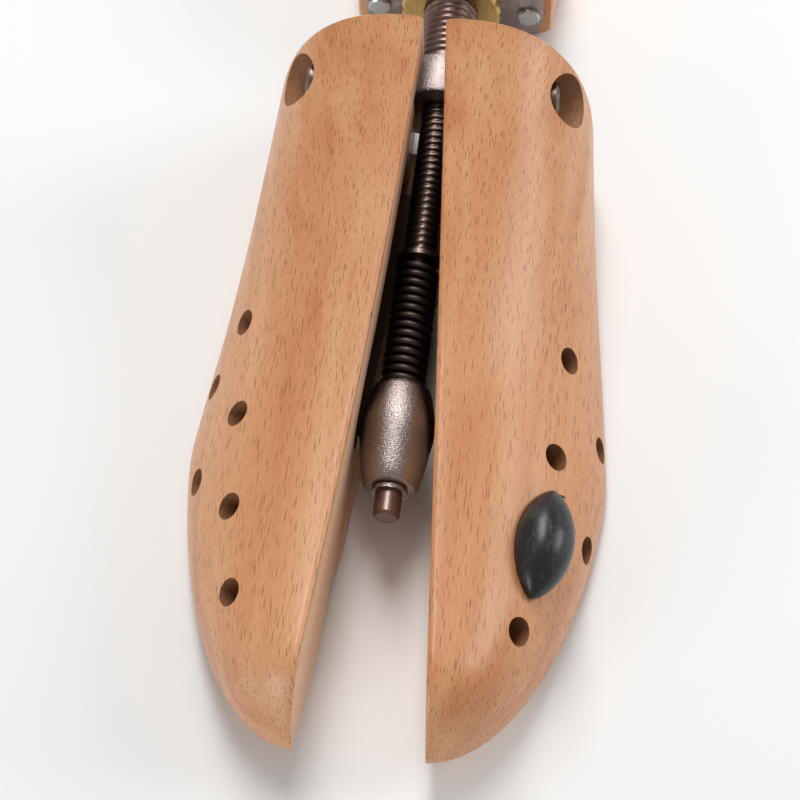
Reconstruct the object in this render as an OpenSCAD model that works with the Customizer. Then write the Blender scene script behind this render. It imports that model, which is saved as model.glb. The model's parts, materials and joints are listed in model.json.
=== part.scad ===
// Two-way wooden shoe stretcher.
// A forefoot block split into two halves swings open on a cast hinge block. The handle turns a
// spindle that drives a wedge between the halves, and a nut on a tube moves the heel block.
// X is across the shoe, the toe points along -Y, the soles rest on Z = 0.

/* [Forefoot block] */
// Length of each half, from its rear face to the tip of the toe
block_l = 163; // [155:1:170]
// Width of one half at the rear
rear_w = 37.4; // [37:0.1:39]
// Width of one half across the ball of the foot
ball_w = 40.3; // [39:0.1:42]
// Place of the ball, as a share of the length
ball_at = 0.56; // [0.5:0.01:0.6]
// Height of the inner face at the rear
rear_h = 63.5; // [62:0.5:66]
// Height that the top falls to above the toes
toe_h = 32.2; // [31:0.1:34]
// How quickly the top falls from the rear
top_fall = 2.74; // [2.4:0.02:3]
// Height of the sole at the tip of the toe
toe_spring = 11.2; // [8:0.1:12]
// Roundness of the section at the rear, 2 is an ellipse
round_rear = 2.45; // [2.35:0.01:2.6]
// Roundness of the section at the waist
round_waist = 1.62; // [1.6:0.01:2]
// Roundness of the section at the toe
round_toe = 1.95; // [1.9:0.01:2.2]

/* [Plug holes] */
// Diameter of the small holes that take a pressure plug
plug_hole_d = 6.5; // [6:0.1:7]
// Depth of the small holes
plug_hole_depth = 9; // [7:0.5:10]
// Distance of the upper holes from the rear face, left half
left_upper = [64, 90, 114, 134.8];
// Place of these holes round the section, 0 is the side and 90 the top
left_upper_angle = [32.8, 42.9, 46.1, 46.4];
// Distance of the lower holes from the rear face, left half
left_lower = [77.5, 103.6];
// Place of these holes round the section
left_lower_angle = [19.3, 21.6];
// Distance of the upper holes from the rear face, right half
right_upper = [67.5, 94, 116.5, 137.2];
// Place of these holes round the section
right_upper_angle = [35.8, 43.3, 46, 43.5];
// Distance of the lower holes from the rear face, right half
right_lower = [83.9, 110.6];
// Place of these holes round the section
right_lower_angle = [14, 16];
// Length of the moulded pressure plug
plug_l = 27; // [22:0.5:30]
// Width of the moulded pressure plug
plug_w = 14; // [12:0.5:16]
// Height of the pressure plug above the wood
plug_h = 8; // [6:0.5:10]

/* [Hinge] */
// Distance of each hinge pin from the centre plane
pin_x = 12; // [12:0.1:12.5]
// Distance of the hinge pins and screws from the rear faces of the halves
pin_y = 8; // [8:0.1:8.5]
// Diameter of the hinge pins
pin_d = 8; // [7.6:0.1:8]
// Distance of a hinge pin from the inner face of its half
pin_in = 8.9; // [8.8:0.05:9]
// Angle of each half to the centre plane, as the stretcher stands
spread_now = 4.2; // [4:0.1:4.2]
// Height of the hinge screws above the sole
screw_z = 43.5; // [43:0.5:45]
// Diameter of the counterbores for the hinge screws
counterbore_d = 13; // [12.5:0.1:13.4]

/* [Spindle] */
// Height of the spindle above the sole
spindle_z = 20; // [20:0.1:20.5]
// Diameter of the spindle over its thread
thread_d = 8; // [7.6:0.1:8]
// Diameter of the plain front end of the spindle
journal_d = 6.2; // [6:0.1:6.3]
// Pitch of the threads on the spindle and on the length tube
pitch = 2; // [2:0.5:2]
// Place of the front end of the thread
thread_end = -40; // [-41:0.5:-40]
// Place of the front end of the spindle
stub_end = -110; // [-112:0.5:-109]

/* [Spring and wedge] */
// Outside diameter of the spring
spring_d = 10.6; // [10.4:0.1:10.8]
// Diameter of the spring wire
wire_d = 1.9; // [1.6:0.1:1.9]
// Number of turns of the spring
spring_turns = 14; // [12:1:14]
// Place of the rear face of the wedge
wedge_rear = -77; // [-77:0.1:-76.8]
// Length of the wedge
wedge_l = 25.6; // [25.4:0.1:26]
// Radius of the wedge at its shoulder
wedge_r = 8.7; // [8.6:0.05:8.7]

/* [Length adjuster and heel] */
// Outside diameter of the threaded length tube
tube_d = 14; // [13:0.5:14]
// Place of the rear end of the length tube
tube_end = 98; // [94:1:98]
// Place of the front face of the heel block
heel_front = 50; // [50:1:52]
// Length of the heel block
heel_l = 56; // [50:1:56]
// Width of the heel block
heel_w = 56; // [50:1:60]
// Height of the heel block
heel_h = 46; // [42:1:50]
// Length of the cross bar of the handle
bar_l = 84; // [70:1:96]

/* [Hidden] */
$fn = 64;
fit = 0.05;
gap = 0.3;
journal_r = journal_d / 2;
thread_r = thread_d / 2;
tube_r = tube_d / 2;
pin_r = pin_d / 2;
ear_r = pin_r + 2.1;
ear_bottom = 10;
ear_top = 50;
web_front = 6;
web_rear = 16;
web_top = spindle_z + 5;
boss_front = 5;
boss_r = 9.4;
boss_rear = 17.5;
socket_front = 11;
set_screw_y = 13.5;
wedge_shoulder = wedge_rear - 10;
wedge_front = wedge_rear - wedge_l;
hub_front = heel_front + heel_l + 30;
hub_l = 25;
handle_end = hub_front + hub_l;
toe_end = -pin_y - (block_l - pin_y) * cos(spread_now) - pin_in * sin(spread_now);
origin_y = -(toe_end + handle_end) / 2;

beech = [0.83, 0.63, 0.44];
cast_metal = [0.56, 0.54, 0.53];
bright_steel = [0.72, 0.72, 0.73];
dark_steel = [0.16, 0.16, 0.17];
black_plastic = [0.09, 0.10, 0.12];
brass = [0.78, 0.62, 0.34];

// The working frame has its zero at the rear faces of the halves
module placed() {
    translate([0, origin_y, 0]) children();
}

// Children are drawn for the right half when closed: inner face on X = 0, rear face on Y = 0
module on_half(side) {
    placed()
        mirror([side < 0 ? 1 : 0, 0, 0])
            translate([pin_x, -pin_y, 0])
                rotate([0, 0, spread_now])
                    translate([-pin_in, pin_y, 0]) children();
}

// Children are drawn along +Z and come out along +Y, on the axis of the spindle
module on_spindle(y) {
    placed() translate([0, y, spindle_z]) rotate([-90, 0, 0]) children();
}

// Outline of one half, s runs from 0 at the rear to 1 at the tip of the toe
function ease(t) = t * t * (3 - 2 * t);
function toe_part(s) = max(0, (s - ball_at) / (1 - ball_at));
function half_w(s) = s < ball_at
    ? rear_w + (ball_w - rear_w) * ease(s / ball_at)
    : max(ball_w * pow(max(1 - pow(toe_part(s), 1.39), 0), 0.51), 0.8);
function sole_z(s) = toe_spring * pow(max(0, (s - 0.6) / 0.4), 2);
function crown_z(s) = toe_h + (rear_h - toe_h) * pow(1 - s, top_fall);
function nose(s) = pow(max(1 - pow(max(0, (s - 0.9) / 0.1), 2.2), 0.03), 0.5);
function half_h(s) = sole_z(s) + (crown_z(s) - sole_z(s)) * nose(s);
function blend(s, rear, waist, toe) = s < 0.45
    ? rear + (waist - rear) * ease(s / 0.45)
    : waist + (toe - waist) * ease(min((s - 0.45) / 0.4, 1));
function roundness(s) = blend(s, round_rear, round_waist, round_toe);
function side_z(s) = sole_z(s) + blend(s, 0.156, 0.067, 0.03) * (half_h(s) - sole_z(s));

// A point of the section, a is 90 on the crown, 0 on the side and -90 under the sole
function section_x(s, a) = half_w(s) * pow(max(cos(a), 0), 2 / (a < 0 ? 5 : roundness(s)));
function section_z(s, a) = a < -70
    ? sole_z(s)
    : a < 0
    ? side_z(s) - (side_z(s) - sole_z(s)) * pow(sin(-a), 2 / 5)
    : side_z(s) + (half_h(s) - side_z(s)) * pow(sin(a), 2 / roundness(s));
function skin(s, a) = [section_x(s, a), -s * block_l, section_z(s, a)];

section_angles = [for (a = [90:-5:0]) a, for (a = [-20:-14:-76]) a, -90];
stations = 30;
function station(i) = 1 - pow(1 - i / stations, 1.6);
half_rings = [for (i = [0:stations]) [for (a = section_angles) skin(station(i), a)]];

// A closed skin over rings of points with the same number of points in each
module loft(rings) {
    m = len(rings[0]);
    last = (len(rings) - 1) * m;
    sides = [for (i = [0:len(rings) - 2], j = [0:m - 1])
        let (a = i * m + j, b = i * m + (j + 1) % m, c = a + m, d = b + m)
        each [[a, d, c], [a, b, d]]];
    front = [for (j = [1:m - 2]) [0, j + 1, j]];
    back = [for (j = [1:m - 2]) [last, last + j, last + j + 1]];
    polyhedron([for (r = rings) each r], concat(sides, front, back), convexity = 6);
}

// Frame on the outside of a half, with Z out of the wood and Y towards the rear
function unit(v) = v / norm(v);
function along(s, a) = unit(skin(s - 0.004, a) - skin(s + 0.004, a));
function around(s, a) = unit(skin(s, a - 0.5) - skin(s, a + 0.5));
function outward(s, a) = unit(cross(around(s, a), along(s, a)));
module on_skin(dist, a) {
    s = dist / block_l;
    p = skin(s, a);
    n = outward(s, a);
    t = unit(along(s, a) - n * (along(s, a) * n));
    b = cross(t, n);
    multmatrix([
        [b.x, t.x, n.x, p.x],
        [b.y, t.y, n.y, p.y],
        [b.z, t.z, n.z, p.z],
        [0, 0, 0, 1]]) children();
}

function upper_row(side) = side < 0 ? left_upper : right_upper;
function upper_angle(side) = side < 0 ? left_upper_angle : right_upper_angle;
function lower_row(side) = side < 0 ? left_lower : right_lower;
function lower_angle(side) = side < 0 ? left_lower_angle : right_lower_angle;
module plug_hole(dist, a) {
    on_skin(dist, a)
        translate([0, 0, -plug_hole_depth]) cylinder(h = plug_hole_depth + 8, d = plug_hole_d);
}
module plug_holes(side) {
    for (i = [0:3]) plug_hole(upper_row(side)[i], upper_angle(side)[i]);
    for (i = [0:1]) plug_hole(lower_row(side)[i], lower_angle(side)[i]);
}

// Groove for the wedge, as its place along the half and its depth below the inner face
groove_r = wedge_r + 0.3;
groove_path = [[0.5, 6.75], [-58, 6.75], [-64, 5.92], [-70, 5],
    [-75, 4.04], [-80, 3], [-86, 1.58], [-97, -1.1]];
module groove() {
    loft([for (p = groove_path) [for (a = [0:8:352])
        [p[1] - groove_r + groove_r * sin(a), p[0], spindle_z + groove_r * cos(a)]]]);
}

relief_depth = 5.5;
relief_lip = 11.5;
relief_end = 76;
// Tall channel behind the lip of the inner face, it follows the slope of the top
module channel_relief() {
    top = [for (d = [10:6:relief_end - 6]) [-d, half_h(d / block_l) - relief_lip]];
    rotate([90, 0, 90])
        translate([0, 0, -1])
            linear_extrude(relief_depth + 1)
                polygon(concat([[-10, 12]], top, [[-relief_end, spindle_z], [-relief_end + 5, 12]]));
}

runout_end = 141;
// Shallow end of the groove, which falls towards the sole on its way to the toe
module groove_runout() {
    start = [-6.8, -86, 10.8];
    end = [-7.6, -runout_end, 0];
    d = end - start;
    translate(start)
        rotate([0, 0, atan2(d.x, -d.y)])
            rotate([90 + atan2(-d.z, norm([d.x, d.y])), 0, 0]) cylinder(h = norm(d), r = groove_r);
}

// Pocket for one ear of the hinge block, round about the hinge pin
module ear_pocket() {
    r = ear_r + 0.35;
    side = 0.9;
    h = ear_top - ear_bottom + 2 * gap;
    translate([0, 0, ear_bottom - gap]) {
        translate([pin_in, -pin_y, 0]) cylinder(h = h, r = r);
        translate([-1, -pin_y - r, 0]) cube([pin_in + 1, r + 1, h]);
        translate([-1, -pin_y, 0]) cube([pin_in + r + side + 1, pin_y + 1, h]);
    }
}

counterbore_floor = 22;
module screw_hole() {
    translate([0, -pin_y, screw_z]) rotate([0, 90, 0]) {
        translate([0, 0, counterbore_floor]) cylinder(h = 30, d = counterbore_d);
        translate([0, 0, pin_in]) cylinder(h = 20, r = 2.3);
    }
}

module toe_half(side) {
    color(beech) on_half(side)
        difference() {
            loft(half_rings);
            groove();
            groove_runout();
            channel_relief();
            ear_pocket();
            translate([pin_in, -pin_y, -1]) cylinder(h = 55.2, r = pin_r + fit / 2);
            screw_hole();
            plug_holes(side);
        }
}

module hinge_pin(side) {
    color(bright_steel) on_half(side) translate([pin_in, -pin_y, 0])
        difference() {
            translate([0, 0, 2]) cylinder(h = 52, r = pin_r);
            translate([-pin_r - 1, 0, screw_z]) rotate([0, 90, 0]) cylinder(h = 2 * pin_r + 2, r = 2.05);
        }
}

module hinge_screw(side) {
    color(dark_steel) on_half(side) translate([0, -pin_y, screw_z]) rotate([0, 90, 0])
        difference() {
            union() {
                translate([0, 0, pin_in - 3]) cylinder(h = counterbore_floor + 1 - pin_in + 3, r = 2);
                translate([0, 0, counterbore_floor + 1]) cylinder(h = 3.4, r = 4.3);
                translate([0, 0, counterbore_floor + 4.4]) cylinder(h = 0.8, r1 = 4.3, r2 = 3.5);
            }
            translate([0, 0, counterbore_floor + 3]) cylinder(h = 4, r = 2.3, $fn = 6);
        }
}

module hinge_washer(side) {
    color(bright_steel) on_half(side) translate([counterbore_floor, -pin_y, screw_z]) rotate([0, 90, 0])
        difference() {
            cylinder(h = 1, r = 5.8);
            translate([0, 0, -1]) cylinder(h = 3, r = 2.15);
        }
}

// One ear of the hinge block with the bore for its pin and a window for the screw
module ear() {
    h = ear_top - ear_bottom;
    difference() {
        translate([pin_x, -pin_y, ear_bottom]) {
            cylinder(h = h, r = ear_r);
            translate([-ear_r, 0, 0]) cube([2 * ear_r, pin_y + web_rear, h]);
        }
        translate([pin_x, -pin_y, 0]) cylinder(h = 80, r = pin_r + fit);
        translate([pin_x, -pin_y - 3, screw_z - 2.7]) cube([10, 6, 5.4]);
        // Sloping back of the ear
        rotate([90, 0, 90]) linear_extrude(40)
            polygon([[5, ear_top + 1], [web_rear + 1, ear_top + 1], [web_rear + 1, web_top + 3]]);
    }
}

module hinge_block() {
    web_x = pin_x + ear_r;
    boss_l = boss_rear - boss_front;
    color(cast_metal) placed() difference() {
        union() {
            ear();
            mirror([1, 0, 0]) ear();
            translate([-web_x, web_front, ear_bottom])
                cube([2 * web_x, web_rear - web_front, web_top - ear_bottom]);
            translate([0, boss_front, spindle_z]) rotate([-90, 0, 0])
                rotate_extrude() polygon([
                    [0, 0], [boss_r - 1.2, 0], [boss_r - 0.35, 0.35], [boss_r, 1.2], [boss_r, boss_l - 0.8],
                    [boss_r - 0.8, boss_l], [0, boss_l]]);
        }
        translate([0, -1, spindle_z]) rotate([-90, 0, 0]) cylinder(h = 40, r = thread_r + fit);
        translate([0, socket_front, spindle_z]) rotate([-90, 0, 0]) cylinder(h = 20, r = tube_r + 0.02);
        translate([0, set_screw_y, ear_bottom - 1]) cylinder(h = spindle_z - ear_bottom, r = 2);
    }
}

// Enters from below and bears on the length tube
module tube_set_screw() {
    color(dark_steel) placed() translate([0, set_screw_y, spindle_z - tube_r - 0.02])
        rotate([180, 0, 0]) difference() {
            cylinder(h = 2.4, r = 1.97);
            translate([0, 0, 0.9]) cylinder(h = 4, r = 1.15, $fn = 6);
        }
}

// Half outline of a thread, as ridges round the Z axis
function ridges(r, depth, z0, count) = [for (i = [0:count - 1]) each [
    [r - depth, z0 + pitch * i],
    [r, z0 + pitch * (i + 0.3)],
    [r, z0 + pitch * (i + 0.6)],
    [r - depth, z0 + pitch * (i + 0.9)]]];

module length_tube() {
    front = socket_front + 0.02;
    thread_from = 18.3;
    thread_count = 31;
    h = tube_end - front;
    color(dark_steel) on_spindle(front)
        rotate_extrude() polygon(concat(
            [[thread_r + 0.4, 0], [tube_r, 0], [tube_r, thread_from - front - 0.2]],
            ridges(tube_r, 0.7, thread_from - front, thread_count),
            [[tube_r - 0.7, h - 1], [tube_r - 1.4, h], [thread_r + 0.4, h]]));
}

module spindle() {
    ridge_count = 23;
    start = thread_end - stub_end;
    total = hub_front + 11.9 - stub_end;
    color(dark_steel) on_spindle(stub_end) difference() {
        rotate_extrude() polygon(concat(
            [[0, 0], [journal_r - 0.6, 0], [journal_r, 0.6], [journal_r, start], [thread_r - 0.6, start]],
            ridges(thread_r, 0.6, start + 0.1, ridge_count),
            [[thread_r, start + pitch * ridge_count + 0.4], [thread_r, total], [0, total]]));
        translate([0, -10, total - 11.9 + pin_at]) rotate([-90, 0, 0]) cylinder(h = 20, r = 1.5);
    }
}

seat_h = 1.3;
module spring_seat() {
    color(bright_steel) on_spindle(thread_end - seat_h) difference() {
        cylinder(h = seat_h, r = 5.5);
        translate([0, 0, -1]) cylinder(h = 4, r = journal_r + fit);
    }
}

wire_r = wire_d / 2;
coil_r = spring_d / 2 - wire_r;
spring_room = thread_end - seat_h - wedge_rear;
spring_pitch = (spring_room - wire_d - 0.1) / spring_turns;
wire_sides = 6;
rings_per_turn = 8;
function wire_point(i, j) = let (
    turn = 360 * i / rings_per_turn,
    around = 360 * j / wire_sides,
    r = coil_r + wire_r * cos(around))
    [r * cos(turn), r * sin(turn), spring_pitch * i / rings_per_turn + wire_r * sin(around)];
wire_rings = [for (i = [0:spring_turns * rings_per_turn]) [for (j = [0:wire_sides - 1]) wire_point(i, j)]];
wire_gap = min([for (i = [0:rings_per_turn - 1], j = [0:wire_sides - 1], k = [0:wire_sides - 1])
    norm(wire_point(i, j) - wire_point(i + rings_per_turn, k))]);
echo(str("least gap between the turns of the spring: ", wire_gap, " mm"));

module wedge_spring() {
    color(dark_steel) on_spindle(wedge_rear + wire_r + 0.05) mirror([0, 1, 0]) loft(wire_rings);
}

module wedge() {
    h = wedge_l;
    shoulder = wedge_rear - wedge_shoulder;
    color(cast_metal) on_spindle(wedge_front)
        rotate_extrude() polygon([
            [journal_r + fit, 0], [5.6, 0], [6.1, 0.3], [6.4, 0.9], [6.75, 2],
            [7.15, h - shoulder - 11.7], [7.7, h - shoulder - 8.3], [8.2, h - shoulder - 5],
            [wedge_r - 0.1, h - shoulder - 2], [wedge_r, h - shoulder], [8.55, h - shoulder + 2],
            [8.3, h - shoulder + 3.8], [7.85, h - shoulder + 6], [7.4, h - 2], [7.1, h - 1],
            [6.85, h - 0.3], [6.3, h], [journal_r + fit, h]]);
}

module nose_ring() {
    color(bright_steel) on_spindle(wedge_front - 1.5) difference() {
        union() {
            cylinder(h = 1, r = 4.2);
            translate([0, 0, 1]) cylinder(h = 0.45, r1 = 4.2, r2 = 3.8);
        }
        translate([0, 0, -1]) cylinder(h = 4, r = journal_r + 0.02);
    }
}

// Lemon-shaped dome on a peg, its outline turned about its long axis
module pressure_plug() {
    steps = 12;
    r = plug_w / 2;
    peg_r = plug_hole_d / 2 - fit;
    dist = upper_row(1)[2];
    a = upper_angle(1)[2];
    dome = [for (i = [1:steps - 1]) let (t = -1 + 2 * i / steps)
        [r * pow(1 - t * t, 0.72), t * plug_l / 2]];
    color(black_plastic) on_half(1) difference() {
        on_skin(dist, a) {
            intersection() {
                translate([0, 0, plug_h - r]) rotate([-90, 0, 0])
                    rotate_extrude() polygon(concat([[0, -plug_l / 2]], dome, [[0, plug_l / 2]]));
                translate([-20, -20, -2]) cube([40, 40, 20]);
            }
            translate([0, 0, 1 - plug_hole_depth]) cylinder(h = plug_hole_depth, r = peg_r);
        }
        // The underside follows the wood
        translate(outward(dist / block_l, a) * 0.08) difference() {
            loft(half_rings);
            on_skin(dist, a) translate([0, 0, -20]) cylinder(h = 30, r = peg_r);
        }
    }
}

nut_rear = heel_front - 2.1;
nut_l = 9.8;
nut_r = 13;
neck_r = 9.5;
ring_front = heel_front + 0.6;
module length_nut() {
    flutes = 18;
    color(brass) on_spindle(nut_rear - nut_l) difference() {
        union() {
            cylinder(h = 0.8, r1 = nut_r - 0.8, r2 = nut_r);
            translate([0, 0, 0.8]) cylinder(h = nut_l - 1.6, r = nut_r);
            translate([0, 0, nut_l - 0.8]) cylinder(h = 0.8, r1 = nut_r, r2 = nut_r - 0.8);
            cylinder(h = ring_front + 2.4 - nut_rear + nut_l, r = neck_r);
        }
        translate([0, 0, -1]) cylinder(h = 40, r = tube_r + fit);
        for (i = [0:flutes - 1])
            rotate([0, 0, 360 * i / flutes]) translate([nut_r + 0.7, 0, -1])
                cylinder(h = nut_l + 1.5, r = 1.4, $fn = 24);
        translate([0, 0, ring_front - nut_rear + nut_l]) difference() {
            cylinder(h = 1.2, r = neck_r + 1);
            translate([0, 0, -1]) cylinder(h = 4, r = neck_r - 0.8);
        }
    }
}

module nut_ring() {
    color(bright_steel) on_spindle(ring_front + 0.05) difference() {
        cylinder(h = 1.1, r = 11.2);
        translate([0, 0, -1]) cylinder(h = 4, r = neck_r - 0.75);
        translate([-2.5, 0, -1]) cube([5, 20, 4]);
    }
}

// Section of the heel block at a share t of its length, closed at the back by an ellipse
function heel_close(t) = pow(max(1 - pow(max(0, (t - 0.35) / 0.65), 2.3), 0), 0.5);
function heel_half_w(t) = max(heel_w / 2 * (0.94 + 0.06 * ease(min(t / 0.35, 1))) * heel_close(t), 6);
function heel_top(t) = heel_h * (1 - 0.22 * pow(t, 3));
function heel_x(t, a) = heel_half_w(t) * (cos(a) < 0 ? -1 : 1) * pow(abs(cos(a)), 2 / (a < 0 ? 6 : 3));
function heel_z(t, a) = let (mid = 0.12 * heel_top(t)) a < 0
    ? mid - mid * pow(sin(-a), 2 / 6)
    : mid + (heel_top(t) - mid) * pow(abs(sin(a)), 2 / 3);
heel_angles = [for (a = [0:9:180]) a, -150, -115, -65, -30];
heel_steps = 16;
heel_rings = [for (i = [0:heel_steps]) let (t = 1 - pow(1 - i / heel_steps, 1.7))
    [for (a = heel_angles) [heel_x(t, a), heel_front + heel_l * t, heel_z(t, a)]]];

plate_screws = [[-20, 10], [20, 10], [-18, 36], [18, 36]];
module heel_block() {
    color(beech) placed() difference() {
        loft(heel_rings);
        translate([0, heel_front - 1, spindle_z]) rotate([-90, 0, 0]) {
            cylinder(h = heel_l + 4, r = tube_r + gap);
            cylinder(h = 4.4, r = 11.8);
        }
        translate([0, heel_front + heel_l - 8, spindle_z]) rotate([-90, 0, 0]) cylinder(h = 12, r = 9);
        for (p = plate_screws)
            translate([p.x, heel_front - 1, p.y]) rotate([-90, 0, 0]) cylinder(h = 12, r = 1.55, $fn = 24);
    }
}

module heel_plate() {
    inset = 2.5;
    w = heel_half_w(0) - inset;
    color(cast_metal) placed() translate([0, heel_front, 0]) rotate([90, 0, 0])
        difference() {
            linear_extrude(2) polygon([for (a = heel_angles)
                [heel_x(0, a) * w / heel_half_w(0), inset + heel_z(0, a) * (heel_h - 2 * inset) / heel_h]]);
            translate([0, spindle_z, -1]) cylinder(h = 4, r = neck_r + gap);
            for (p = plate_screws)
                translate([p.x, p.y, -1]) cylinder(h = 4, r = 1.6, $fn = 24);
        }
}

module heel_plate_screws() {
    color(bright_steel) placed() for (p = plate_screws)
        translate([p.x, heel_front - 3, p.y]) rotate([-90, 0, 0]) {
            cylinder(h = 0.4, r1 = 2.6, r2 = 3.1, $fn = 32);
            translate([0, 0, 0.4]) cylinder(h = 0.6, r = 3.1, $fn = 32);
            translate([0, 0, 1]) cylinder(h = 11.5, r = 1.5, $fn = 24);
        }
}

module heel_ferrule() {
    color(brass) on_spindle(heel_front + heel_l - 8) difference() {
        union() {
            cylinder(h = 8.2, r = 8.95);
            translate([0, 0, 8]) cylinder(h = 1.6, r = 10.5);
        }
        translate([0, 0, -1]) cylinder(h = 20, r = tube_r + gap);
    }
}

pin_at = 6;
bar_at = 18;
bar_r = 4;
knob_r = 7;
module handle_hub() {
    color(bright_steel) on_spindle(hub_front) difference() {
        rotate_extrude() polygon([
            [0, 0], [6, 0], [6.6, 0.6], [6.6, 9], [9, 13], [9, hub_l - 3], [8, hub_l - 1], [6, hub_l], [0, hub_l]]);
        translate([0, 0, -1]) cylinder(h = 13, r = thread_r + 0.02);
        translate([-20, 0, bar_at]) rotate([0, 90, 0]) cylinder(h = 40, r = bar_r + 0.02);
        translate([0, -20, pin_at]) rotate([-90, 0, 0]) cylinder(h = 40, r = 1.5);
    }
}

module handle_bar() {
    color(bright_steel) on_spindle(hub_front + bar_at) rotate([0, 90, 0])
        translate([0, 0, -bar_l / 2]) cylinder(h = bar_l, r = bar_r);
}

module handle_pin() {
    color(dark_steel) on_spindle(hub_front) translate([0, -7, pin_at]) rotate([-90, 0, 0])
        cylinder(h = 14, r = 1.48);
}

module handle_knobs() {
    color(black_plastic) for (x = [-1, 1])
        on_spindle(hub_front + bar_at) rotate([0, 90 * x, 0]) translate([0, 0, bar_l / 2 - 2]) difference() {
            sphere(r = knob_r);
            translate([0, 0, -10]) cylinder(h = 12.02, r = bar_r + 0.02);
        }
}

toe_half(-1);  // toe_half_left
toe_half(1);  // toe_half_right
hinge_block();
hinge_pin(-1);  // hinge_pin_left
hinge_pin(1);  // hinge_pin_right
hinge_screw(-1);  // hinge_screw_left
hinge_screw(1);  // hinge_screw_right
hinge_washer(-1);  // hinge_washer_left
hinge_washer(1);  // hinge_washer_right
length_tube();
tube_set_screw();
spindle();
spring_seat();
wedge_spring();
wedge();
nose_ring();
pressure_plug();
length_nut();
nut_ring();
heel_block();
heel_plate();
heel_plate_screws();
heel_ferrule();
handle_hub();
handle_bar();
handle_pin();
handle_knobs();
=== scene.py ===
import json
import math
import bmesh
import bpy
from mathutils import Matrix, Vector

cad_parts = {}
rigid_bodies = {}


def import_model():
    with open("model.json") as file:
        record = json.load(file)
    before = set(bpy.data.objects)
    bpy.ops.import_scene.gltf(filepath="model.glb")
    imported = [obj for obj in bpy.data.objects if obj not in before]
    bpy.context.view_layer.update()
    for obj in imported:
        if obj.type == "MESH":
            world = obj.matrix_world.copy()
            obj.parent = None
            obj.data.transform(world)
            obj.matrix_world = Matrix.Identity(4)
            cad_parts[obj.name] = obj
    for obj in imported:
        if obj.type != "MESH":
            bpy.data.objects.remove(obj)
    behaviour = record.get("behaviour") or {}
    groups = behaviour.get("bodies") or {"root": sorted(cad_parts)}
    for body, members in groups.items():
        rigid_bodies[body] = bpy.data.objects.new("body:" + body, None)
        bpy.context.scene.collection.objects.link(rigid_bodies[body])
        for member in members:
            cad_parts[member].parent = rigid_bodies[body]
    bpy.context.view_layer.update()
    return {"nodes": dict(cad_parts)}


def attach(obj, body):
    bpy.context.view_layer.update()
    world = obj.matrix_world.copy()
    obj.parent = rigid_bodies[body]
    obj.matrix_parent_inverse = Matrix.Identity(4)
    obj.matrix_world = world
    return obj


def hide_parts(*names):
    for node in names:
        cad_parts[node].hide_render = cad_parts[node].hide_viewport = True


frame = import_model()
mm = 0.001
insideBox = 0.999  # share that keeps the finer skins within the solids' box
print("frame loaded")


# helpers for colour and nodes
def tone(red, green, blue):
    def linear(v):
        v = v / 255
        return v / 12.92 if v <= 0.04045 else ((v + 0.055) / 1.055) ** 2.4
    return (linear(red), linear(green), linear(blue), 1)


def startMaterial(name):
    material = bpy.data.materials.new(name)
    material.use_nodes = True
    tree = material.node_tree
    return material, tree, tree.nodes["Principled BSDF"]


def place(tree, kind, inputs, **settings):
    node = tree.nodes.new(kind)
    for key, value in settings.items():
        setattr(node, key, value)
    for key, value in inputs.items():
        if hasattr(value, "is_output"):
            tree.links.new(value, node.inputs[key])
        else:
            node.inputs[key].default_value = value
    return node


def objectSpace(tree, scale, turn=0.0, shift=(0, 0, 0)):
    coords = place(tree, "ShaderNodeTexCoord", {}).outputs["Object"]
    mapping = {"Vector": coords, "Scale": scale, "Rotation": (0, 0, turn), "Location": shift}
    return place(tree, "ShaderNodeMapping", mapping).outputs["Vector"]


def noiseAt(tree, vector, detail, rough=0.5, bend=0.0):
    noise = {"Vector": vector, "Scale": 1.0, "Detail": detail, "Roughness": rough, "Distortion": bend}
    return place(tree, "ShaderNodeTexNoise", noise).outputs["Fac"]


def ramp(tree, fac, stops):
    node = place(tree, "ShaderNodeValToRGB", {"Fac": fac})
    band = node.color_ramp
    while len(band.elements) < len(stops):
        band.elements.new(0.5)
    for element, (at, colour) in zip(band.elements, stops):
        element.position = at
        element.color = (colour, colour, colour, 1) if isinstance(colour, float) else colour
    return node.outputs["Color"]


def blendColour(tree, fac, first, second):
    return place(tree, "ShaderNodeMix", {0: fac, 6: first, 7: second}, data_type="RGBA").outputs[2]


def between(tree, value, low, high):
    span = {"Value": value, "To Min": low, "To Max": high}
    return place(tree, "ShaderNodeMapRange", span).outputs["Result"]


def addBump(tree, shader, height, strength, distance):
    bump = place(tree, "ShaderNodeBump", {"Height": height, "Strength": strength, "Distance": distance})
    tree.links.new(bump.outputs["Normal"], shader.inputs["Normal"])


# beech, with its short dark flecks along the grain
beech = {
    "pale": tone(222, 168, 122), "middle": tone(207, 144, 95), "ruddy": tone(190, 116, 62),
    # shade is a painted shade colour, laid into the channel and the bored holes
    "fleck": tone(136, 64, 20), "raw": tone(236, 208, 184), "shade": tone(50, 30, 22),
    "grainTurn": math.radians(4.2),
    # cells in a metre across, along and up the board
    "bands": (95, 4, 95), "clouds": (38, 16, 38), "fibres": (5200, 90, 5200),
    "longFlecks": (2150, 150, 600), "shortFlecks": (3400, 260, 900),
    # share and colour laid over the wood where it isn't varnished: a paler raw tone on the inner faces,
    # and painted shade darkening the channel and the bored holes
    "rawTintAndPaintedShade": {"raw": (0.6, "raw"), "bored": (0.55, "shade"), "channel": (0.9, "shade")},
    "varnish": 0.4, "roughness": 0.5, "bareRoughness": 0.8, "bump": 0.00008,
}


def flecks(tree, space, core, edge):
    cells = place(tree, "ShaderNodeTexVoronoi", {"Vector": space, "Scale": 1.0})
    return ramp(tree, cells.outputs["Distance"], [(core, 1.0), (edge, 0.0)])


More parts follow.
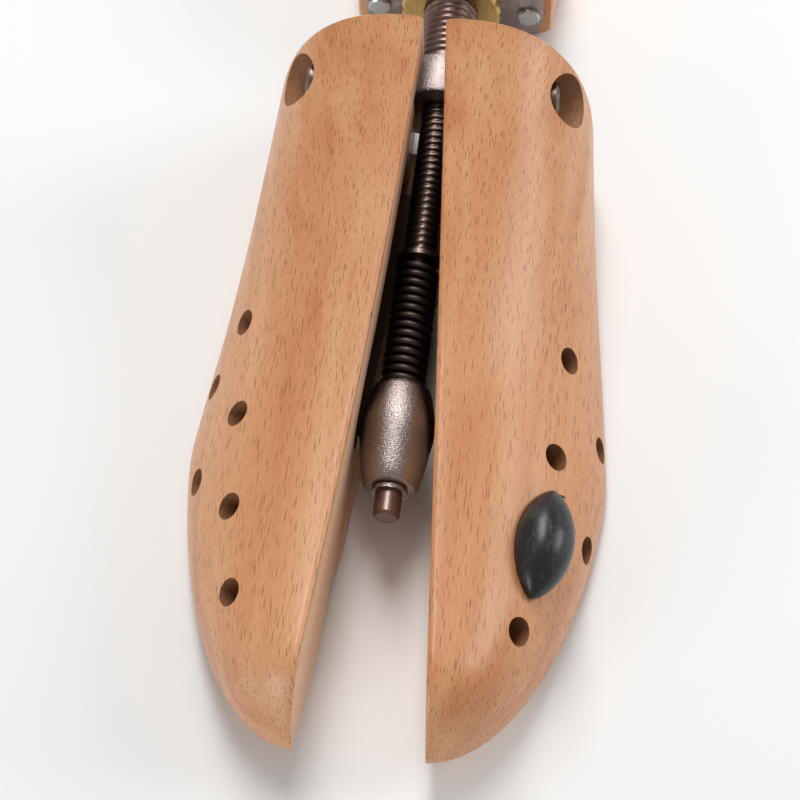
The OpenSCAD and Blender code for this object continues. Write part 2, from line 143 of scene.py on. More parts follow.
def beechMaterial(name, kind, turn, shift):
    material, tree, shader = startMaterial(name)

    def space(key):
        return objectSpace(tree, beech[key], turn, shift)

    bands = noiseAt(tree, space("bands"), 4, 0.55, 0.8)
    clouds = noiseAt(tree, space("clouds"), 2)
    fibres = ramp(tree, noiseAt(tree, space("fibres"), 2, 0.6), [(0.4, 0.0), (0.7, 1.0)])
    longFlecks = flecks(tree, space("longFlecks"), 0.17, 0.29)
    shortFlecks = flecks(tree, space("shortFlecks"), 0.16, 0.32)
    colour = ramp(tree, bands, [(0.3, beech["ruddy"]), (0.46, beech["middle"]), (0.68, beech["pale"])])
    layers = [(clouds, 0.45, "middle"), (fibres, 0.3, "ruddy"),
              (shortFlecks, 0.4, "fleck"), (longFlecks, 0.7, "fleck")]
    for mask, strength, shade in layers:
        colour = blendColour(tree, between(tree, mask, 0.0, strength), colour, beech[shade])
    # the channel and the bored holes take the painted shade colour, the inner faces the raw tone
    if kind in beech["rawTintAndPaintedShade"]:
        share, shade = beech["rawTintAndPaintedShade"][kind]
        colour = blendColour(tree, share, colour, beech[shade])
        shader.inputs["Roughness"].default_value = beech["bareRoughness"]
    else:
        shader.inputs["Roughness"].default_value = beech["roughness"]
        shader.inputs["Coat Weight"].default_value = beech["varnish"]
        tree.links.new(between(tree, clouds, 0.22, 0.34), shader.inputs["Coat Roughness"])
    tree.links.new(colour, shader.inputs["Base Color"])
    addBump(tree, shader, blendColour(tree, 0.5, longFlecks, fibres), -0.22, beech["bump"])
    return material


# metals, with the cells of their grain in a metre and its depth in metres
metals = {
    "casting": {"name": "castZinc", "colour": tone(168, 154, 150), "rough": 0.24,
                "grain": (2600, 2600, 2600), "strength": 1.0, "depth": 0.00014},
    "steel": {"name": "nickelSteel", "colour": tone(190, 190, 190), "rough": 0.28,
              "grain": (900, 270, 900), "strength": 0.4, "depth": 0.00002},
    "darkSteel": {"name": "oiledSteel", "colour": tone(130, 110, 102), "rough": 0.36,
                  "grain": (1500, 1500, 1500), "strength": 0.4, "depth": 0.00003},
    "springSteel": {"name": "blackSpringSteel", "colour": tone(84, 72, 68), "rough": 0.42,
                    "grain": (2600, 2600, 2600), "strength": 0.8, "depth": 0.00006},
    "brass": {"name": "turnedBrass", "colour": tone(204, 170, 108), "rough": 0.27,
              "grain": (900, 3600, 900), "strength": 0.4, "depth": 0.00002},
}


def metalMaterial(name, colour, rough, grain, strength, depth):
    material, tree, shader = startMaterial(name)
    cloud = noiseAt(tree, objectSpace(tree, (60, 60, 60)), 4, 0.6)
    dark = tuple(v * 0.72 for v in colour[:3]) + (1,)
    tint = ramp(tree, cloud, [(0.35, dark), (0.62, colour)])
    fine = noiseAt(tree, objectSpace(tree, grain), 3, 0.6)
    tree.links.new(tint, shader.inputs["Base Color"])
    tree.links.new(between(tree, fine, rough - 0.1, rough + 0.12), shader.inputs["Roughness"])
    shader.inputs["Metallic"].default_value = 1.0
    addBump(tree, shader, fine, strength, depth)
    return material


plastic = {"colour": tone(26, 27, 31), "scuff": tone(110, 116, 126), "depth": 0.00007}


def plasticMaterial(name):
    material, tree, shader = startMaterial(name)
    scuffs = noiseAt(tree, objectSpace(tree, (420, 180, 420), 0.5), 6, 0.75, 0.6)
    lines = ramp(tree, scuffs, [(0.545, 0.0), (0.56, 1.0), (0.575, 0.0)])
    tint = blendColour(tree, between(tree, lines, 0.0, 0.22), plastic["colour"], plastic["scuff"])
    grit = noiseAt(tree, objectSpace(tree, (1100, 1100, 1100)), 3)
    tree.links.new(tint, shader.inputs["Base Color"])
    tree.links.new(between(tree, scuffs, 0.2, 0.46), shader.inputs["Roughness"])
    addBump(tree, shader, blendColour(tree, 0.35, grit, lines), 0.5, plastic["depth"])
    return material


finishes = {key: metalMaterial(**metal) for key, metal in metals.items()}
finishes["plastic"] = plasticMaterial("mouldedBlack")
print("finishes mixed")


# helpers for meshes
def newObject(name, data):
    thing = bpy.data.objects.new(name, data)
    bpy.context.scene.collection.objects.link(thing)
    return thing


def softenShading(thing, angle):
    mesh = thing.data
    mesh.polygons.foreach_set("use_smooth", [True] * len(mesh.polygons))
    mesh.set_sharp_from_angle(angle=math.radians(angle))
    mesh.update()


def addObject(name, verts, faces, material=None, smoothAngle=30):
    mesh = bpy.data.meshes.new(name)
    mesh.from_pydata([tuple(v) for v in verts], [], faces)
    mesh.validate()
    thing = newObject(name, mesh)
    if material is not None:
        mesh.materials.append(material)
    softenShading(thing, smoothAngle)
    return thing


def addSkin(name, rings, material=None, smoothAngle=30, closedEnds=True):
    count = len(rings[0])
    verts = [p for ring in rings for p in ring]
    faces = []
    for i in range(len(rings) - 1):
        for j in range(count):
            a, b = i * count + j, i * count + (j + 1) % count
            faces.append((a, b, b + count, a + count))
    if closedEnds:
        last = (len(rings) - 1) * count
        faces.append(tuple(reversed(range(count))))
        faces.append(tuple(last + j for j in range(count)))
    return addObject(name, verts, faces, material, smoothAngle)


def fixNormals(thing, weld=0):
    shape = bmesh.new()
    shape.from_mesh(thing.data)
    if weld:
        bmesh.ops.remove_doubles(shape, verts=shape.verts, dist=weld)
    bmesh.ops.recalc_face_normals(shape, faces=shape.faces)
    shape.to_mesh(thing.data)
    shape.free()


def applyModifiers(thing):
    bpy.context.view_layer.update()
    shaped = thing.evaluated_get(bpy.context.evaluated_depsgraph_get())
    finished = bpy.data.meshes.new_from_object(shaped)
    thing.modifiers.clear()
    old = thing.data
    thing.data = finished
    bpy.data.meshes.remove(old)


def cutAway(thing, cutters, materialIndex):
    for cutter in cutters:
        fixNormals(cutter)
        for face in cutter.data.polygons:
            face.material_index = materialIndex
        change = thing.modifiers.new("cut", "BOOLEAN")
        change.operation = "DIFFERENCE"
        change.solver = "EXACT"
        change.object = cutter
    applyModifiers(thing)
    for cutter in cutters:
        bpy.data.objects.remove(cutter, do_unlink=True)


# profile of radius and place along the matrix's z
def turned(name, profile, matrix, material, around, smoothAngle=30):
    turns = [k * math.tau / around for k in range(around)]
    rings = [[matrix @ Vector((radius * math.cos(turn), radius * math.sin(turn), along)) for turn in turns]
             for radius, along in profile]
    thing = addSkin(name, rings, material, smoothAngle)
    fixNormals(thing)
    softenShading(thing, smoothAngle)
    return thing


def rodCutter(matrix, radius, low, high, around=48):
    return turned("cutter", [(radius, low), (radius, high)], matrix, None, around)


def boxCutter(low, high, matrix=Matrix()):
    corners = ((low[0], low[1]), (high[0], low[1]), (high[0], high[1]), (low[0], high[1]))
    return addSkin("cutter", [[matrix @ Vector((x, y, z)) for x, y in corners] for z in (low[2], high[2])])


# forefoot block in millimetres, in the frame of its right half when closed:
# x out from the inner face, y to the rear, z up, and s the share of the length from the rear
block = {
    "length": 163, "rearWidth": 37.4, "ballWidth": 40.3, "leastWidth": 0.8, "ballAt": 0.56,
    "rearHeight": 63.5, "toeHeight": 32.2, "topFall": 2.74, "toeCurve": (1.39, 0.51), "noseAt": 0.9,
    "toeSpring": 11.2, "springAt": 0.6,
    "waistAt": 0.45, "toeAt": 0.85,  # places between which the section changes
    "roundness": (2.45, 1.62, 1.95),  # of the section's upper curve, at rear, waist and toe
    "sideShare": (0.156, 0.067, 0.03),  # height of the widest point in the section
    "lowerPower": 0.4, "arris": 1.1,
    "pinX": 12, "pinY": 8, "pinIn": 8.9, "spread": math.radians(4.2),
    "originY": 1.11778, "spindleZ": 20,
    # distance from the rear and angle on the section, the four upper holes first
    "holes": {1: [(67.5, 35.8), (94, 43.3), (116.5, 46), (137.2, 43.5), (83.9, 14), (110.6, 16)],
              -1: [(64, 32.8), (90, 42.9), (114, 46.1), (134.8, 46.4), (77.5, 19.3), (103.6, 21.6)]},
    "holeRadius": 3.25, "holeDepth": 9,
}
# the channel and bored kinds carry painted shade in their colour
woodKinds = ["varnished", "raw", "channel", "bored"]  # in the order of a half's material slots


def ease(t):
    return t * t * (3 - 2 * t)


def halfWidth(s):
    ballAt = block["ballAt"]
    if s < ballAt:
        return block["rearWidth"] + (block["ballWidth"] - block["rearWidth"]) * ease(s / ballAt)
    t = min((s - ballAt) / (1 - ballAt), 1)
    along, across = block["toeCurve"]
    return max(block["ballWidth"] * max(1 - t ** along, 0) ** across, block["leastWidth"])


def soleHeight(s):
    return block["toeSpring"] * max(0, (s - block["springAt"]) / (1 - block["springAt"])) ** 2


def topHeight(s):
    fall = max(1 - s, 0) ** block["topFall"]
    crown = block["toeHeight"] + (block["rearHeight"] - block["toeHeight"]) * fall
    t = max(0, (s - block["noseAt"]) / (1 - block["noseAt"]))
    nose = max(1 - t ** 2.2, 0.03) ** 0.5
    return soleHeight(s) + (crown - soleHeight(s)) * nose


def alongHalf(s, values):
    rear, waist, toe = values
    waistAt = block["waistAt"]
    if s < waistAt:
        return rear + (waist - rear) * ease(max(s, 0) / waistAt)
    return waist + (toe - waist) * ease(min((s - waistAt) / (block["toeAt"] - waistAt), 1))


# angle in degrees: 90 at the top, 0 at the widest point, -90 at the sole
def skinPoint(s, angle):
    width, low, high = halfWidth(s), soleHeight(s), topHeight(s)
    side = low + alongHalf(s, block["sideShare"]) * (high - low)
    c, v = max(math.cos(math.radians(angle)), 0), abs(math.sin(math.radians(angle)))
    power, reach = 2 / alongHalf(s, block["roundness"]), high - side
    if angle < 0:
        power, reach = block["lowerPower"], low - side
    return Vector((width * c ** power, -s * block["length"], side + reach * v ** power))


# z square out of the skin, y along it to the rear
def outerFrame(distance, angle):
    s, shareStep, angleStep = distance / block["length"], 0.004, 0.5
    at = skinPoint(s, angle)
    along = (skinPoint(s - shareStep, angle) - skinPoint(s + shareStep, angle)).normalized()
    around = (skinPoint(s, angle - angleStep) - skinPoint(s, angle + angleStep)).normalized()
    out = around.cross(along).normalized()
    back = (along - out * along.dot(out)).normalized()
    side = back.cross(out)
    return Matrix(((side.x, back.x, out.x, at.x), (side.y, back.y, out.y, at.y),
                   (side.z, back.z, out.z, at.z), (0, 0, 0, 1)))


def halfMatrix(side):
    move = Matrix.Translation((block["pinX"], block["originY"] - block["pinY"], 0))
    turn = Matrix.Rotation(block["spread"], 4, "Z")
    back = Matrix.Translation((-block["pinIn"], block["pinY"], 0))
    flip = Matrix.Diagonal((side, 1, 1, 1))
    return Matrix.Scale(mm, 4) @ flip @ move @ turn @ back


def rearwardAxis(x, z):
    return Matrix.Translation((x, block["originY"], z)) @ Matrix.Rotation(-math.pi / 2, 4, "X")


# how the rings of a half are spaced, and the inset and shift that round its rear edge
skin = {
    "upperPoints": 40, "crowding": 1.15, "lowerAngles": (-0.4, -1.6, -4, -9, -18, -32, -50, -68, -82, -89),
    "rearEdge": [(1.0, 0.0), (0.45, -0.12), (0.12, -0.45)], "firstRing": 1.1, "toeCrowding": 1.6,
}


def sectionRing(s, inset=0.0, shift=0.0):
    arris = min(block["arris"], halfWidth(s) * 0.4)
    low, high = soleHeight(s), topHeight(s)
    count = skin["upperPoints"]
    upper = [skinPoint(s, 90 - 90 * (k / count) ** skin["crowding"]) for k in range(1, count + 1)]
    lower = [skinPoint(s, angle) for angle in skin["lowerAngles"]]
    ring = [(p.x, p.z) for p in upper if p.x > arris * 1.2] + [(p.x, p.z) for p in lower if p.x > arris]
    missing = len(upper) + len(lower) - len(ring)  # every ring has as many points
    ring = ring[:1] * missing + ring
    small = min(0.5, arris * 0.5)
    ring += [(small, low), (small * 0.3, low + small * 0.3), (0, low + small)]
    for k in range(5):
        turn = math.radians(90 * k / 4)
        ring.append((arris * (1 - math.cos(turn)), high - arris * (1 - math.sin(turn)) - 0.012 * arris))
    if inset > 0:
        middle = Vector((sum(x for x, z in ring), sum(z for x, z in ring))) / len(ring)
        ring = [Vector(p) + (middle - Vector(p)).normalized() * inset for p in ring]
    y = -s * block["length"] + shift
    return [Vector((x * insideBox, y, z)) for x, z in ring]


def plainHalf(name, stations=96):
    rings = [sectionRing(0.0, inset, shift) for inset, shift in skin["rearEdge"]]
    for i in range(stations + 1):
        s = 1 - (1 - i / stations) ** skin["toeCrowding"]
        rings.append(sectionRing(max(s, skin["firstRing"] / block["length"])))
    thing = addSkin(name, rings)
    fixNormals(thing, 0.001)
    return thing


# channel of the screw gear in the inner face, the slot over it and its run-out to the sole
channel = {
    "radius": 9.0,
    "depths": [(0.5, 6.75), (-58, 6.75), (-64, 5.92), (-70, 5.0), (-75, 4.04), (-80, 3.0), (-86, 1.58),
               (-97, -1.1)],  # place along the half and depth under its inner face
    "runoutFrom": (-6.8, -86, 10.8), "runoutTo": (-7.6, -141, 0),
    "slotDepth": 5.5, "slotFloor": 12, "slotRoof": 11.5,  # the roof runs this far below the top
    "slotFrom": 10, "slotTo": 70, "floorTo": 71, "slotToe": 76,  # distances from the rear
}


def channelCutters():
    radius, height, floorZ = channel["radius"], block["spindleZ"], channel["slotFloor"]
    turns = [math.radians(a) for a in range(0, 360, 5)]
    rings = [[Vector((depth - radius + radius * math.sin(turn), y, height + radius * math.cos(turn)))
              for turn in turns] for y, depth in channel["depths"]]
    trough = addSkin("cutter", rings)
    start, end = Vector(channel["runoutFrom"]), Vector(channel["runoutTo"])
    aim = (end - start).to_track_quat("Z", "Y").to_matrix().to_4x4()
    runout = rodCutter(Matrix.Translation(start) @ aim, radius, 0, (end - start).length, 72)
    roof = [(-d, topHeight(d / block["length"]) - channel["slotRoof"])
            for d in range(channel["slotFrom"], channel["slotTo"] + 1, 4)]
    toe = [(-channel["slotToe"], height), (-channel["floorTo"], floorZ)]
    outline = [(-channel["slotFrom"], floorZ)] + roof + toe
    slot = addSkin("cutter", [[Vector((x, y, z)) for y, z in outline] for x in (-1, channel["slotDepth"])])
    return [trough, slot], [runout]


# room for one ear of the hinge block, which is round about the hinge pin, and for the pin and its screw
hinge = {
    "earRadius": 6.45, "low": 9.7, "high": 50.3, "earDepth": 16.25, "pinRadius": 4.03, "pinTop": 54.2,
    "screwZ": 43.5, "screwRadius": 2.3, "screwEnd": 24, "headRadius": 6.5, "headFrom": 22, "headEnd": 52,
}


def hingeCutters():
    pinIn, pinY, low, high = block["pinIn"], block["pinY"], hinge["low"], hinge["high"]
    pin = Matrix.Translation((pinIn, -pinY, 0))
    screw = Matrix.Translation((0, -pinY, hinge["screwZ"])) @ Matrix.Rotation(math.pi / 2, 4, "Y")
    return [
        rodCutter(pin, hinge["earRadius"], low, high, 64),
        boxCutter((-1, -pinY - hinge["earRadius"], low + 0.01), (pinIn, -pinY + 0.1, high - 0.01)),
        boxCutter((-1, -pinY, low + 0.02), (hinge["earDepth"], 1, high - 0.02)),
        rodCutter(pin, hinge["pinRadius"], -1, hinge["pinTop"]),
        rodCutter(screw, hinge["screwRadius"], pinIn, hinge["screwEnd"]),
        rodCutter(screw, hinge["headRadius"], hinge["headFrom"], hinge["headEnd"], 64),
    ]


def halfMaster():
    master = plainHalf("halfMaster")
    for face in master.data.polygons:
        face.material_index = woodKinds.index("varnished" if face.normal.x > -0.985 else "raw")
    for kind in woodKinds:
        master.data.materials.append(None)
    troughs, runouts = channelCutters()
    # the channel and the hinge bores take the materials with painted shade
    cutAway(master, troughs, woodKinds.index("channel"))
    cutAway(master, runouts, woodKinds.index("raw"))
    cutAway(master, hingeCutters(), woodKinds.index("bored"))
    return master


def forefootHalf(master, side, word):
    half = newObject("forefootHalf" + word, master.data.copy())
    holes = [rodCutter(outerFrame(distance, angle), block["holeRadius"], -block["holeDepth"], 6)
             for distance, angle in block["holes"][side]]
    # the plug holes take the bored material with painted shade
    cutAway(half, holes, woodKinds.index("bored"))
    half.data.transform(halfMatrix(side))
    if side < 0:
        half.data.flip_normals()
    while len(half.data.materials) < len(woodKinds):
        half.data.materials.append(None)
    for index, kind in enumerate(woodKinds):
        turn, shift = beech["grainTurn"] * -side, (0.3 * side, 0.1, 0.05)
        half.data.materials[index] = beechMaterial(kind + "Beech" + word, kind, turn, shift)
    softenShading(half, 32)
    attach(half, "right_toe" if side > 0 else "left_toe")
    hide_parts("toe_half_right" if side > 0 else "toe_half_left")


print("forefoot block")
master = halfMaster()
for side, word in ((1, "Right"), (-1, "Left")):
    forefootHalf(master, side, word)
bpy.data.objects.remove(master, do_unlink=True)


# pressure plug, its peg and the flash of plastic at its end
plug = {
    "length": 27, "width": 14, "height": 8, "fullness": 0.72, "hole": 2,
    "pegRadius": 3.2, "pegDepth": 8,
    "nibFoot": (0.9, 12.2, 1.2), "nibReach": (2.6, 0.9, 0.5), "nibBow": (0, 0.21, 0.3),
}


def plugDome(seat):
    radius = plug["width"] / 2
    rise = Matrix.Translation((0, 0, plug["height"] - radius))
    lay = seat @ rise @ Matrix.Rotation(-math.pi / 2, 4, "X")
    shares = [math.sin(math.pi * (k / 40 - 0.5)) for k in range(41)]
    outline = [(max(radius * (1 - t * t) ** plug["fullness"], 0.02), t * plug["length"] / 2)
               for t in shares]
    dome = turned("pressurePlug", outline, lay, finishes["plastic"], 64)
    cutAway(dome, [plainHalf("cutter", 60), boxCutter((-30, -30, -40), (30, 30, -2), seat)], 0)
    return dome


def plugPeg(seat):
    radius, depth = plug["pegRadius"], plug["pegDepth"]
    profile = [(radius - 0.4, -depth), (radius, 0.5 - depth), (radius, 0.5)]
    return turned("plugPeg", profile, seat, finishes["plastic"], 40)


def plugNib(seat):
    foot, reach, bow = (Vector(plug[key]) for key in ("nibFoot", "nibReach", "nibBow"))
    turns = [math.tau * j / 10 for j in range(10)]
    rings = []
    for k in range(9):
        t = k / 8
        middle = foot + reach * t + bow * math.sin(math.pi * t)
        wide, thick = 0.62 * (1 - t) ** 0.7 + 0.04, 0.34 * (1 - t) + 0.03
        rings.append([seat @ (middle + Vector((wide * 0.35 * math.cos(v), wide * math.sin(v),
                                               thick * math.cos(v)))) for v in turns])
    return addSkin("plugNib", rings, finishes["plastic"], 50)


print("pressure plug")
seat = outerFrame(*block["holes"][1][plug["hole"]])
for piece in (plugDome(seat), plugPeg(seat), plugNib(seat)):
    piece.data.transform(halfMatrix(1))
    softenShading(piece, 40)
    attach(piece, "plug")
    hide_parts("pressure_plug")


# screw gear, with places along its axis counted to the rear from the end of the closed halves
gearAxis = Matrix.Scale(mm, 4) @ rearwardAxis(0, block["spindleZ"])
thread = {"pitch": 2, "steps": 8}  # millimetres and rings in a turn
spindle = {
    "stub": -110, "shoulder": -40, "threadEnd": 6, "end": 147.9,
    "journal": 3.1, "radius": 4.0, "depth": 0.62, "groove": 0.32, "flank": 1.5,
}
wedge = {
    "rear": -77, "length": 25.6, "bore": 3.15,
    "rim": [(5.6, 0), (6.1, 0.3), (6.4, 0.9), (6.75, 2), (7.15, 3.9), (7.7, 7.3), (8.2, 10.6), (8.6, 13.6),
            (8.7, 15.6), (8.66, 16.4), (8.55, 17.6), (8.3, 19.4), (7.85, 21.6), (7.4, 23.6), (7.25, 24.2),
            (7.1, 24.6), (6.85, 25.3), (6.6, 25.5), (6.3, 25.6)],  # radius and place from the front
}
spring = {"radius": 4.35, "wire": 0.95, "turns": 14, "collar": 1.3, "steps": 28, "sides": 12, "gap": 0.05}


def threadRings(stations, groove, flank, around):
    rings = []
    for along, radius, depth in stations:
        ring = []
        for j in range(around):
            turn = math.tau * j / around
            phase = (along / thread["pitch"] - turn / math.tau) % 1
            dip = max(0, 1 - abs(phase - 0.5) / groove)
            r = radius - depth * min(1, dip * flank)
            ring.append(gearAxis @ Vector((r * math.cos(turn), r * math.sin(turn), along)))
        rings.append(ring)
    return rings


def spindleStations():
    stub, shoulder, threadEnd = spindle["stub"], spindle["shoulder"], spindle["threadEnd"]
    journal, radius = spindle["journal"], spindle["radius"]
    sections = [
        (stub, stub + 0.01, journal - 0.6, 0), (stub + 0.6, shoulder, journal, 0),
        (shoulder, shoulder + 0.01, radius - 0.5, 0),
        (shoulder + 0.1, threadEnd, radius, spindle["depth"]),
        (threadEnd + 0.1, spindle["end"], radius, 0),
    ]
    stations = []
    for low, high, radius, depth in sections:
        steps = int((high - low) / thread["pitch"] * thread["steps"]) if depth else 1
        for k in range(steps + 1):
            along = low + (high - low) * k / steps
            fade = max(min(1, along - low, high - along), 0)
            stations.append((along, radius, depth * fade))
    return stations


def spindleRod():
    rings = threadRings(spindleStations(), spindle["groove"], spindle["flank"], 36)
    rod = addSkin("spindleRod", rings, finishes["darkSteel"], 40)
    fixNormals(rod)
    softenShading(rod, 40)
    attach(rod, "handle_spindle")
    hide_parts("spindle")


def wedgeSpring():
    wire, gap = spring["wire"], spring["gap"]
    start = wedge["rear"] + wire + gap
    room = spindle["shoulder"] - spring["collar"] - wedge["rear"] - 2 * wire - 2 * gap
    pitch = room / spring["turns"]
    rings = []
    for i in range(spring["turns"] * spring["steps"] + 1):
        turn = -math.tau * i / spring["steps"]
        ring = []
        for j in range(spring["sides"]):
            v = math.tau * j / spring["sides"]
            reach = spring["radius"] + wire * math.cos(v)
            along = start + pitch * i / spring["steps"] + wire * math.sin(v)
            ring.append(gearAxis @ Vector((reach * math.cos(turn), reach * math.sin(turn), along)))
        rings.append(ring)
    coil = addSkin("wedgeSpring", rings, finishes["springSteel"], 50)
    fixNormals(coil)
    softenShading(coil, 50)
    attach(coil, "wedge_carriage")
    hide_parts("wedge_spring")


def spreaderWedge():
    front = wedge["rear"] - wedge["length"]
    profile = [(wedge["bore"], 0)] + wedge["rim"] + [(wedge["bore"], wedge["length"])]
    cone = turned("spreaderWedge", [(r, front + z) for r, z in profile], gearAxis,
                  finishes["casting"], 96, 40)
    cone.data.polygons[-1].use_smooth = False
    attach(cone, "wedge_carriage")
    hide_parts("wedge")


print("spindle and spring")
spindleRod()
wedgeSpring()
print("wedge")
spreaderWedge()


# length tube, open from end to end, with its thread on the outside
tube = {
    "front": 11.02, "threadFrom": 18.5, "threadTo": 80.3, "rear": 98, "radius": 7, "bore": 4.4,
    "depth": 0.7, "groove": 0.34, "flank": 1.4, "fadeIn": 6, "fadeOut": 3,  # fades in rings
}


def tubeStations():
    front, rear, low, high = (tube[key] for key in ("front", "rear", "threadFrom", "threadTo"))
    radius, depth, bore = tube["radius"], tube["depth"], tube["bore"]
    steps = int((high - low) / thread["pitch"] * thread["steps"])
    stations = [(front, radius - 0.02, 0), (low - 0.4, radius - 0.02, 0)]
    for k in range(steps + 1):
        fade = min(1, k / tube["fadeIn"], (steps - k) / tube["fadeOut"])
        stations.append((low + (high - low) * k / steps, radius - 0.01, depth * fade))
    stations += [(high + 0.3, radius - depth, 0), (rear - 1, radius - depth, 0), (rear, radius - 1.4, 0)]
    return stations + [(rear, bore, 0), (front, bore, 0)]


def lengthTube():
    rings = threadRings(tubeStations(), tube["groove"], tube["flank"], 48)
    pipe = addSkin("lengthTube", rings + rings[:1], finishes["darkSteel"], 40, False)
    fixNormals(pipe, 0.001 * mm)
    softenShading(pipe, 40)
    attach(pipe, "hinge_frame")
    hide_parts("length_tube")


print("length tube")
lengthTube()


# heel block, a smooth skin through the same sections as the part
heel = {
    "front": 50, "length": 56, "width": 56, "height": 46,
    "straight": 0.35, "frontShare": 0.94, "leastWidth": 6, "shut": 2.3, "topFall": 0.22, "sideShare": 0.12,
    "bore": 7.3, "ringRecess": (11.8, 3.4), "ferruleRecess": (9, 8),  # radius and depth
    "screws": [(-20, 10), (20, 10), (-18, 36), (18, 36)], "screwRadius": 1.55, "screwDepth": 11,
}


def heelRing(t, inset=0.0):
    straight, front = heel["straight"], heel["frontShare"]
    shut = max(1 - max(0, (t - straight) / (1 - straight)) ** heel["shut"], 0) ** 0.5
    swell = front + (1 - front) * ease(min(t / straight, 1))
    wide = max(heel["width"] / 2 * swell * shut, heel["leastWidth"]) - inset
    high = heel["height"] * (1 - heel["topFall"] * t ** 3)
    middle = heel["sideShare"] * high
    y = block["originY"] + heel["front"] + heel["length"] * t
    ring = []
    for k in range(72):
        angle = math.tau * (k + 0.5) / 72
        c, v = math.cos(angle), math.sin(angle)
        power, reach = (2 / 3, high - middle) if v > 0 else (1 / 3, middle)
        x = wide * math.copysign(abs(c) ** power, c)
        z = middle + (reach - inset) * math.copysign(abs(v) ** power, v)
        ring.append(Vector((x * insideBox, y, z)))
    return ring


def heelSkin(material):
    face = [p + Vector((0, 0.01, 0)) for p in heelRing(0, 1.2)]
    rings = [face, heelRing(0.004, 0.5), heelRing(0.018, 0.02)]
    rings += [heelRing(0.018 + 0.978 * (1 - (1 - k / 40) ** 1.7)) for k in range(1, 41)]
    rings += [heelRing(0.999, 0.4), heelRing(1, 1)]
    return addSkin("heelBlock", rings, material)


def heelCutters():
    front, rear = heel["front"], heel["front"] + heel["length"]
    axis = rearwardAxis(0, block["spindleZ"])
    ringRadius, ringDepth = heel["ringRecess"]
    ferruleRadius, ferruleDepth = heel["ferruleRecess"]
    cutters = [
        rodCutter(axis, heel["bore"], front - 2, rear + 2, 64),
        rodCutter(axis, ringRadius, front - 2, front + ringDepth, 72),
        rodCutter(axis, ferruleRadius, rear - ferruleDepth, rear + 2, 72),
    ]
    for x, z in heel["screws"]:
        hole = rearwardAxis(x, z)
        cutters.append(rodCutter(hole, heel["screwRadius"], front - 1, front + heel["screwDepth"], 24))
    return cutters


def heelBlock():
    shift = (0.7, 0.3, 0.2)
    cup = heelSkin(beechMaterial("beechHeel", "varnished", 0.0, shift))
    # the heel's bores take the bored material with painted shade
    cup.data.materials.append(beechMaterial("beechHeelBored", "bored", 0.0, shift))
    fixNormals(cup)
    cutAway(cup, heelCutters(), 1)
    cup.data.transform(Matrix.Scale(mm, 4))
    softenShading(cup, 40)
    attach(cup, "heel")
    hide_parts("heel_block")


print("heel block")
heelBlock()


# machined fittings, copied with their sharp edges broken:
# solid, name of the copy, body, finish, slot, width of the bevel in metres
fittings = [
    ("hinge_block", "hingeBlock", "hinge_frame", "casting", "casting", 0.0006),
    ("heel_plate", "heelPlate", "heel", "casting", "casting", 0.0004),
    ("handle_hub", "handleHub", "handle_spindle", "steel", "steel", 0.0004),
]
edges = {"weld": 0.000002, "flat": math.radians(0.6), "sharp": math.radians(40), "segments": 2}


def meshParts(node):
    return [part for part in [node] + list(node.children_recursive) if part.type == "MESH"]


def weldedCopy(node, name):
    shape = bmesh.new()
    for part in meshParts(frame["nodes"][node]):
        copy = part.data.copy()
        copy.transform(part.matrix_world)
        shape.from_mesh(copy)
        bpy.data.meshes.remove(copy)
    bmesh.ops.remove_doubles(shape, verts=shape.verts, dist=edges["weld"])
    bmesh.ops.dissolve_limit(shape, angle_limit=edges["flat"], verts=shape.verts, edges=shape.edges)
    mesh = bpy.data.meshes.new(name)
    shape.to_mesh(mesh)
    shape.free()
    return mesh


def roundedCopy(node, name, body, finish, slotName, width):
    mesh = weldedCopy(node, name)
    thing = newObject(name, mesh)
    mesh.materials.clear()
    mesh.materials.append(finishes[finish])
    for face in mesh.polygons:
        face.material_index = 0
    edge = thing.modifiers.new("edge", "BEVEL")
    edge.limit_method = "ANGLE"
    edge.angle_limit = edges["sharp"]
    edge.width = width
    edge.segments = edges["segments"]
    applyModifiers(thing)
    softenShading(thing, 35)
    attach(thing, body)
    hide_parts(node)


print("machined fittings")
for fitting in fittings:
    roundedCopy(*fitting)


# finishes of the solids that keep their machined shape
dressing = {
    "casting": ["nose_ring"],
    "steel": ["nut_ring", "heel_plate_screws", "handle_bar"],
    "darkSteel": ["hinge_pin_left", "hinge_pin_right", "hinge_washer_left", "hinge_washer_right",
                  "hinge_screw_left", "hinge_screw_right", "spring_seat", "tube_set_screw", "handle_pin"],
    "brass": ["length_nut", "heel_ferrule"],
    "plastic": ["handle_knobs"],
}

print("finishes of the other fittings")
for finish, nodes in dressing.items():
    for node in nodes:
        for part in meshParts(frame["nodes"][node]):
            for slot in part.material_slots:
                slot.material = finishes[finish]


# stage, lamps and camera
studio = {
    "floor": tone(244, 244, 243), "floorReach": 6.0, "floorZ": -0.0001, "ambient": 0.37,
    # name, place and size in metres, power in watts
    "lamps": [("rearLamp", (-0.1, 0.52, 0.95), (0.3, 0.8), 7.7),
              ("leftLamp", (-0.68, -0.84, 0.3), (0.4, 0.4), 3.0),
              ("rightLamp", (0.98, 0.2, 0.58), (0.5, 0.5), 4.0)],
    "lampTarget": (0, -0.05, 0.02),
    # the photograph's view, with the distance in millimetres and the focal length in pixels
    "target": (0.578, -84.96 + block["originY"], 30.0), "distance": 454.06,
    "elevation": 59.8, "azimuth": 8.06, "roll": -1.95, "focal": 2006.0, "pixels": 800, "sensor": 36,
}


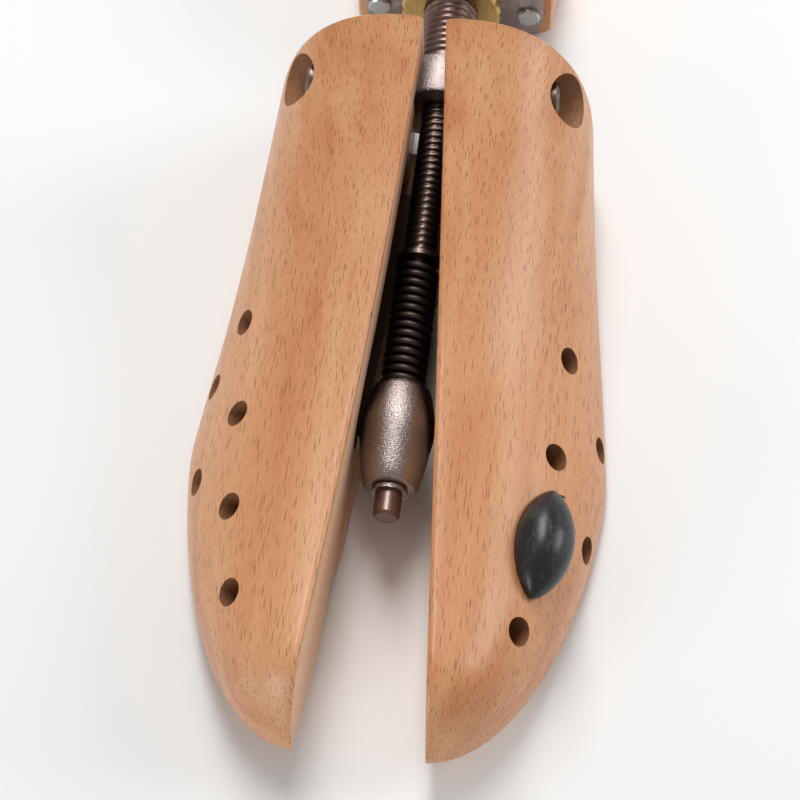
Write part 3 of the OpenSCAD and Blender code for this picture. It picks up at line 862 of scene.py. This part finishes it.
def addFloor():
    reach = studio["floorReach"]
    corners = [(-reach, -reach, 0), (reach, -reach, 0), (reach, reach, 0), (-reach, reach, 0)]
    floor = addObject("floor", corners, [(0, 1, 2, 3)])
    material, tree, shader = startMaterial("paleFloor")
    shader.inputs["Base Color"].default_value = studio["floor"]
    shader.inputs["Roughness"].default_value = 0.9
    floor.data.materials.append(material)
    floor.location.z = studio["floorZ"]


def addWorld():
    world = bpy.data.worlds.new("studioWorld")
    bpy.context.scene.world = world
    world.use_nodes = True
    background = world.node_tree.nodes["Background"]
    background.inputs["Color"].default_value = (1, 1, 1, 1)
    background.inputs["Strength"].default_value = studio["ambient"]


def addLamp(name, spot, width, power):
    lamp = bpy.data.lights.new(name, "AREA")
    lamp.shape = "RECTANGLE"
    lamp.size, lamp.size_y = width
    lamp.energy = power
    holder = newObject(name, lamp)
    aim = Vector(studio["lampTarget"]) - Vector(spot)
    holder.location = spot
    holder.rotation_euler = aim.to_track_quat("-Z", "Y").to_euler()


def addCamera():
    up, around, roll = (math.radians(studio[key]) for key in ("elevation", "azimuth", "roll"))
    back = Vector((math.sin(around) * math.cos(up), -math.cos(around) * math.cos(up), math.sin(up)))
    level = Vector((math.cos(around), math.sin(around), 0))
    over = back.cross(level)
    right = level * math.cos(roll) + over * math.sin(roll)
    top = over * math.cos(roll) - level * math.sin(roll)
    spot = (Vector(studio["target"]) + back * studio["distance"]) * mm
    lens = bpy.data.cameras.new("photoCamera")
    lens.sensor_fit = "HORIZONTAL"
    lens.sensor_width = studio["sensor"]
    lens.lens = studio["focal"] / studio["pixels"] * studio["sensor"]
    lens.clip_start = 0.01
    camera = newObject("photoCamera", lens)
    camera.matrix_world = Matrix(((right.x, top.x, back.x, spot.x), (right.y, top.y, back.y, spot.y),
                                  (right.z, top.z, back.z, spot.z), (0, 0, 0, 1)))
    bpy.context.scene.camera = camera


print("stage, lamps and camera")
addFloor()
addWorld()
for lamp in studio["lamps"]:
    addLamp(*lamp)
addCamera()
bpy.context.scene.view_settings.view_transform = "Standard"
